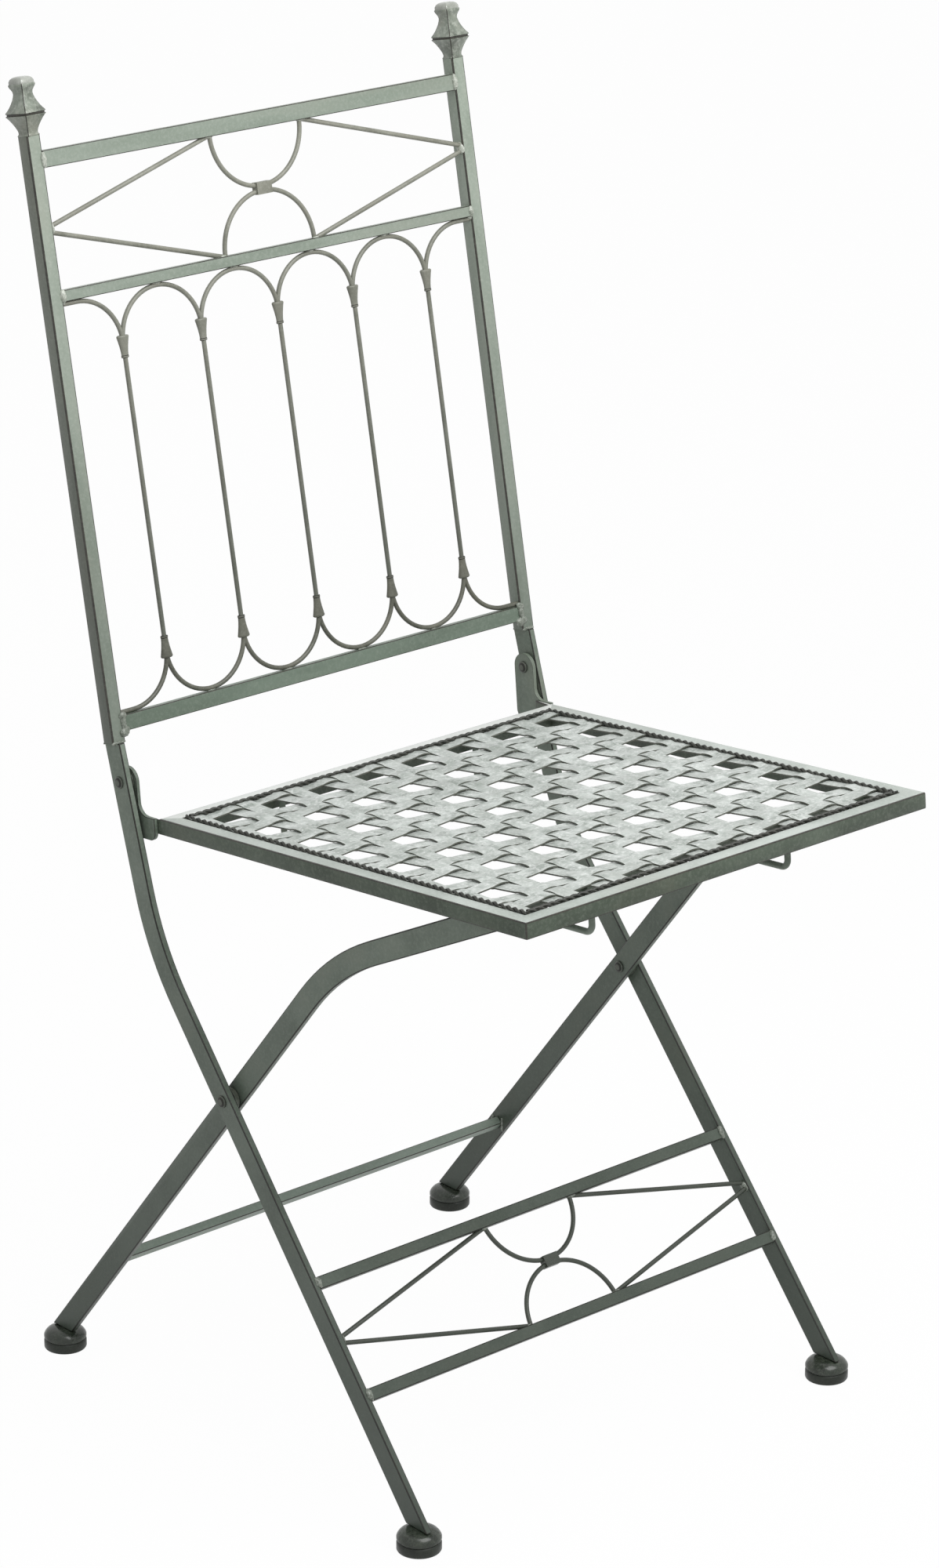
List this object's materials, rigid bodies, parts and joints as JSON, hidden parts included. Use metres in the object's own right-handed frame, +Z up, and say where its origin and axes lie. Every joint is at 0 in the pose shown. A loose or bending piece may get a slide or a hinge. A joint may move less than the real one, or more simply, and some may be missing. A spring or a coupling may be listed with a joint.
{
  "type": "folding metal chair",
  "caption": "Folding bistro chair of painted steel with a woven strip seat, crossing flat-bar legs, a square-tube back with arched wrought rods, and turned finials.",
  "frame": {"origin": "on the floor, under the middle of the open chair", "axes": "+Z up, the chair faces -Y, +X to the right of someone who looks at its front"},
  "size_m": [0.4198, 0.5109, 0.9402],
  "materials": {
    "frame": "pale sage green paint, worn to dark brown at the edges",
    "strips": "whitish grey-green paint, mottled",
    "trim": "dark grey-green paint on twisted wire",
    "rivets": "sage green paint over plain steel",
    "glide": "dark grey"
  },
  "bodies": {
    "back_and_front_legs": {"back_arc_lower": "frame", "back_arc_upper": "frame", "back_arches_bottom": "frame", "back_arches_top": "frame", "back_band": "frame", "back_ferrules_bottom": "frame", "back_ferrules_top": "frame", "back_rail_bottom": "frame", "back_rail_middle": "frame", "back_rail_top": "frame", "back_rods": "frame", "back_spindles": "frame", "brace_arc_lower": "frame", "brace_arc_upper": "frame", "brace_band": "frame", "brace_rail_lower": "frame", "brace_rail_upper": "frame", "brace_rods": "frame", "crossing_rivet_left": "rivets", "crossing_rivet_right": "rivets", "crossing_spacer_left": "rivets", "crossing_spacer_right": "rivets", "finial_left": "frame", "finial_right": "frame", "front_foot_left": "frame", "front_foot_right": "frame", "front_glide_left": "glide", "front_glide_right": "glide", "front_leg_left": "frame", "front_leg_right": "frame", "seat_rivet_left": "rivets", "seat_rivet_right": "rivets", "seat_washer_left": "rivets", "seat_washer_right": "rivets", "upright_left": "frame", "upright_right": "frame"},
    "seat": {"seat_border_back": "frame", "seat_border_front": "frame", "seat_border_left": "frame", "seat_border_right": "frame", "seat_bracket_left": "frame", "seat_bracket_right": "frame", "seat_guide_left": "frame", "seat_guide_right": "frame", "seat_rail_back": "frame", "seat_rail_front": "frame", "seat_rail_left": "frame", "seat_rail_right": "frame", "seat_strips_across": "strips", "seat_strips_along": "strips", "seat_trim_back": "trim", "seat_trim_front": "trim", "seat_trim_left": "trim", "seat_trim_right": "trim"},
    "rear_legs": {"rear_foot_left": "frame", "rear_foot_right": "frame", "rear_glide_left": "glide", "rear_glide_right": "glide", "rear_leg_left": "frame", "rear_leg_right": "frame", "rear_stretcher": "frame"},
    "crossbar": {"crossbar": "frame"}
  },
  "joints": [
    {"name": "seat_fold", "type": "hinge", "parent": "back_and_front_legs", "child": "seat", "pos_m": [0, 0.1509, 0.4635], "axis": [-1, 0, 0], "range_deg": [0, 92]},
    {"name": "rear_leg_fold", "type": "hinge", "parent": "back_and_front_legs", "child": "rear_legs", "pos_m": [0, 0.04167, 0.26093], "axis": [-1, 0, 0], "range_deg": [0, 65.26]},
    {"name": "crossbar_slide", "type": "slide", "parent": "seat", "child": "crossbar", "axis": [0, 0.9959, -0.0908], "range_m": [0, 0.26137]}
  ],
  "couplings": [
    {"joint": "rear_leg_fold", "follows": "seat_fold", "ratio": 0.70926},
    {"joint": "crossbar_slide", "follows": "seat_fold", "m_per_rad": 0.16271}
  ]
}
